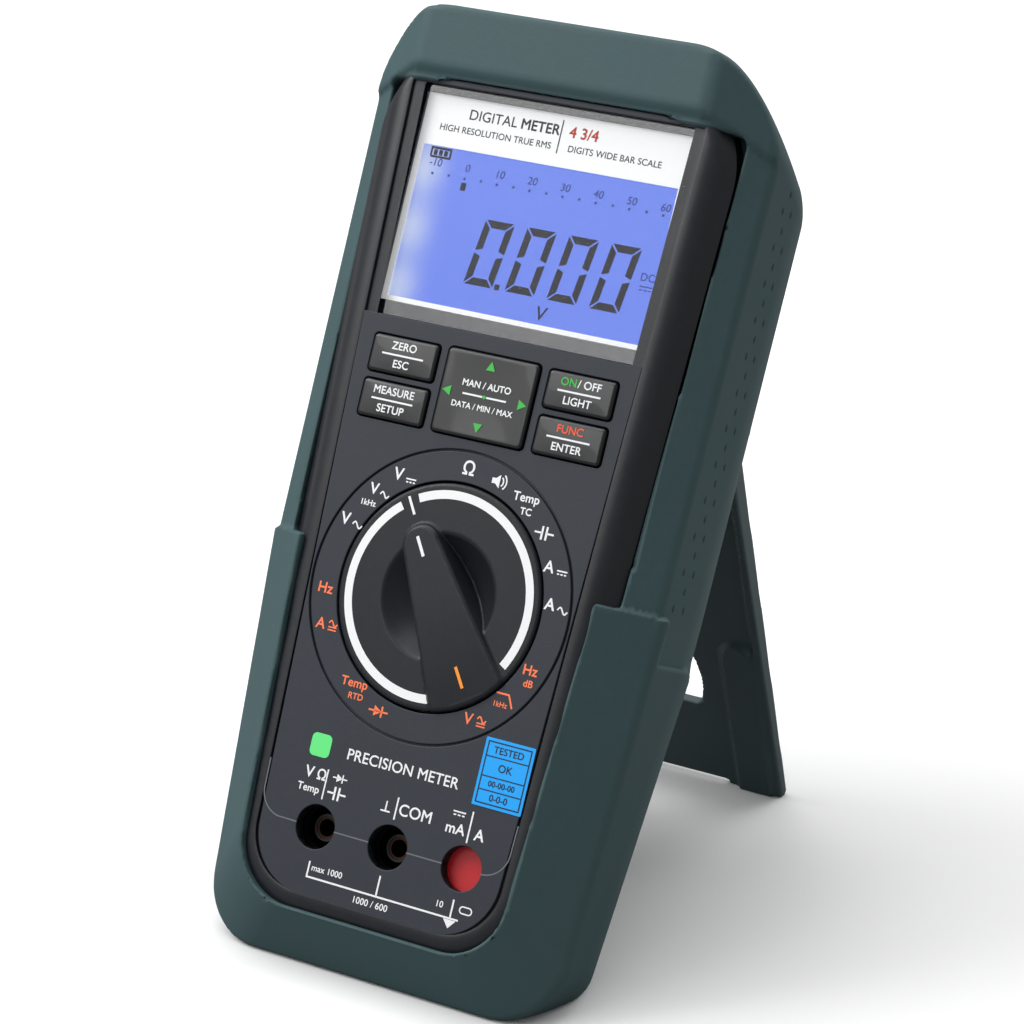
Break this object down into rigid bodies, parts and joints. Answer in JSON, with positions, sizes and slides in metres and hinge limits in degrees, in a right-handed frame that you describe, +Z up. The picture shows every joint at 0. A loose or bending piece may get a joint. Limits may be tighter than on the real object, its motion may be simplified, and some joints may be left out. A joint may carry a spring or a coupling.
{
  "type": "handheld digital multimeter",
  "caption": "Handheld digital multimeter in a protective rubber boot, leaning back on its fold-out tilt stand, with display, keys, rotary selector and safety sockets.",
  "frame": {"origin": "on the floor, under the middle of the bounding box, with the instrument leaning back on its open stand", "axes": "+Z up; the panel faces -Y and up; +X to the reader's right"},
  "size_m": [0.1026, 0.1328, 0.1988],
  "materials": {
    "boot_rubber": "fine grained grey-green elastomer",
    "stand_plastic": "matte, moulded",
    "front_plastic": "fine satin texture",
    "rear_plastic": "fine satin texture",
    "knob_plastic": "satin",
    "key_plastic": "satin",
    "window_clear": "clear, polished",
    "mask_white": "printed card",
    "lcd_blue": "backlit",
    "guide_acrylic": "polished edge-lit acrylic",
    "frame_white": "moulded",
    "silicone": "soft",
    "board_laminate": "solder mask",
    "chip_black": "moulded resin",
    "varistor_blue": "dipped",
    "copper": "drawn",
    "brass": "machined",
    "steel": "zinc plated",
    "cam_plastic": "low-friction natural",
    "shutter_red": "moulded",
    "block_plastic": "moulded",
    "cell_jacket": "shrunk foil sleeve",
    "fuse_ceramic": "fired tube",
    "label_blue": "printed sticker"
  },
  "bodies": {
    "case": {"boot": "boot_rubber", "stand_pins": "steel", "front_shell": "front_plastic", "rear_shell": "rear_plastic", "battery_door": "rear_plastic", "door_screws": "steel", "case_screws": "steel", "display_window": "window_clear", "display_mask": "mask_white", "lcd_panel": "lcd_blue", "light_guide": "guide_acrylic", "lcd_frame": "frame_white", "zebra_strip": "silicone", "main_board": "board_laminate", "board_chips": "chip_black", "varistors": "varistor_blue", "current_shunt": "copper", "buzzer": "brass", "key_mat": "silicone", "cursor_cradle": "frame_white", "detent_spring": "steel", "socket_block": "block_plastic", "volt_contact": "brass", "com_contact": "brass", "amp_contact": "brass", "socket_straps": "brass", "cell_left": "cell_jacket", "cell_right": "cell_jacket", "cell_springs": "steel", "fuse": "fuse_ceramic", "fuse_caps": "steel", "fuse_clips": "brass", "test_label": "label_blue"},
    "stand": {"tilt_stand": "stand_plastic"},
    "selector": {"knob": "knob_plastic", "cam_disc": "cam_plastic", "wiper_contacts": "brass", "knob_clip": "steel"},
    "shutter": {"socket_shutter": "shutter_red"},
    "zero_key": {"key_zero": "key_plastic"},
    "measure_key": {"key_measure": "key_plastic"},
    "power_key": {"key_power": "key_plastic"},
    "function_key": {"key_function": "key_plastic"},
    "cross": {"cursor_cross": "steel"},
    "pad": {"cursor_pad": "key_plastic"}
  },
  "joints": [
    {"name": "stand_fold", "type": "hinge", "parent": "case", "child": "stand", "pos_m": [0, 0.03268, 0.10803], "axis": [1, 0, 0], "range_deg": [-43.5, 0]},
    {"name": "knob_turn", "type": "hinge", "parent": "case", "child": "selector", "pos_m": [0, -0.03058, 0.0819], "axis": [0, -0.891, 0.454], "range_deg": [-114.52, 32.72]},
    {"name": "shutter_swing", "type": "hinge", "parent": "case", "child": "shutter", "pos_m": [0.00205, -0.04874, 0.04626], "axis": [0, -0.891, 0.454], "range_deg": [-29.22, 8.38]},
    {"name": "zero_key_press", "type": "slide", "parent": "case", "child": "zero_key", "axis": [0, 0.891, -0.454], "range_m": [0, 0.001], "stiffness_N_per_m": 1200, "springref_m": -0.0004},
    {"name": "measure_key_press", "type": "slide", "parent": "case", "child": "measure_key", "axis": [0, 0.891, -0.454], "range_m": [0, 0.001], "stiffness_N_per_m": 1200, "springref_m": -0.0004},
    {"name": "power_key_press", "type": "slide", "parent": "case", "child": "power_key", "axis": [0, 0.891, -0.454], "range_m": [0, 0.001], "stiffness_N_per_m": 1200, "springref_m": -0.0004},
    {"name": "function_key_press", "type": "slide", "parent": "case", "child": "function_key", "axis": [0, 0.891, -0.454], "range_m": [0, 0.001], "stiffness_N_per_m": 1200, "springref_m": -0.0004},
    {"name": "pad_tilt_up_down", "type": "hinge", "parent": "case", "child": "cross", "pos_m": [0, -0.00545, 0.11977], "axis": [1, 0, 0], "range_deg": [-2.5, 2.5], "stiffness_Nm_per_rad": 0.3},
    {"name": "pad_tilt_left_right", "type": "hinge", "parent": "cross", "child": "pad", "pos_m": [0, -0.00545, 0.11977], "axis": [0, 0.454, 0.891], "range_deg": [-2.5, 2.5], "stiffness_Nm_per_rad": 0.3}
  ],
  "couplings": [
    {"joint": "shutter_swing", "follows": "knob_turn", "ratio": 0.25469}
  ]
}
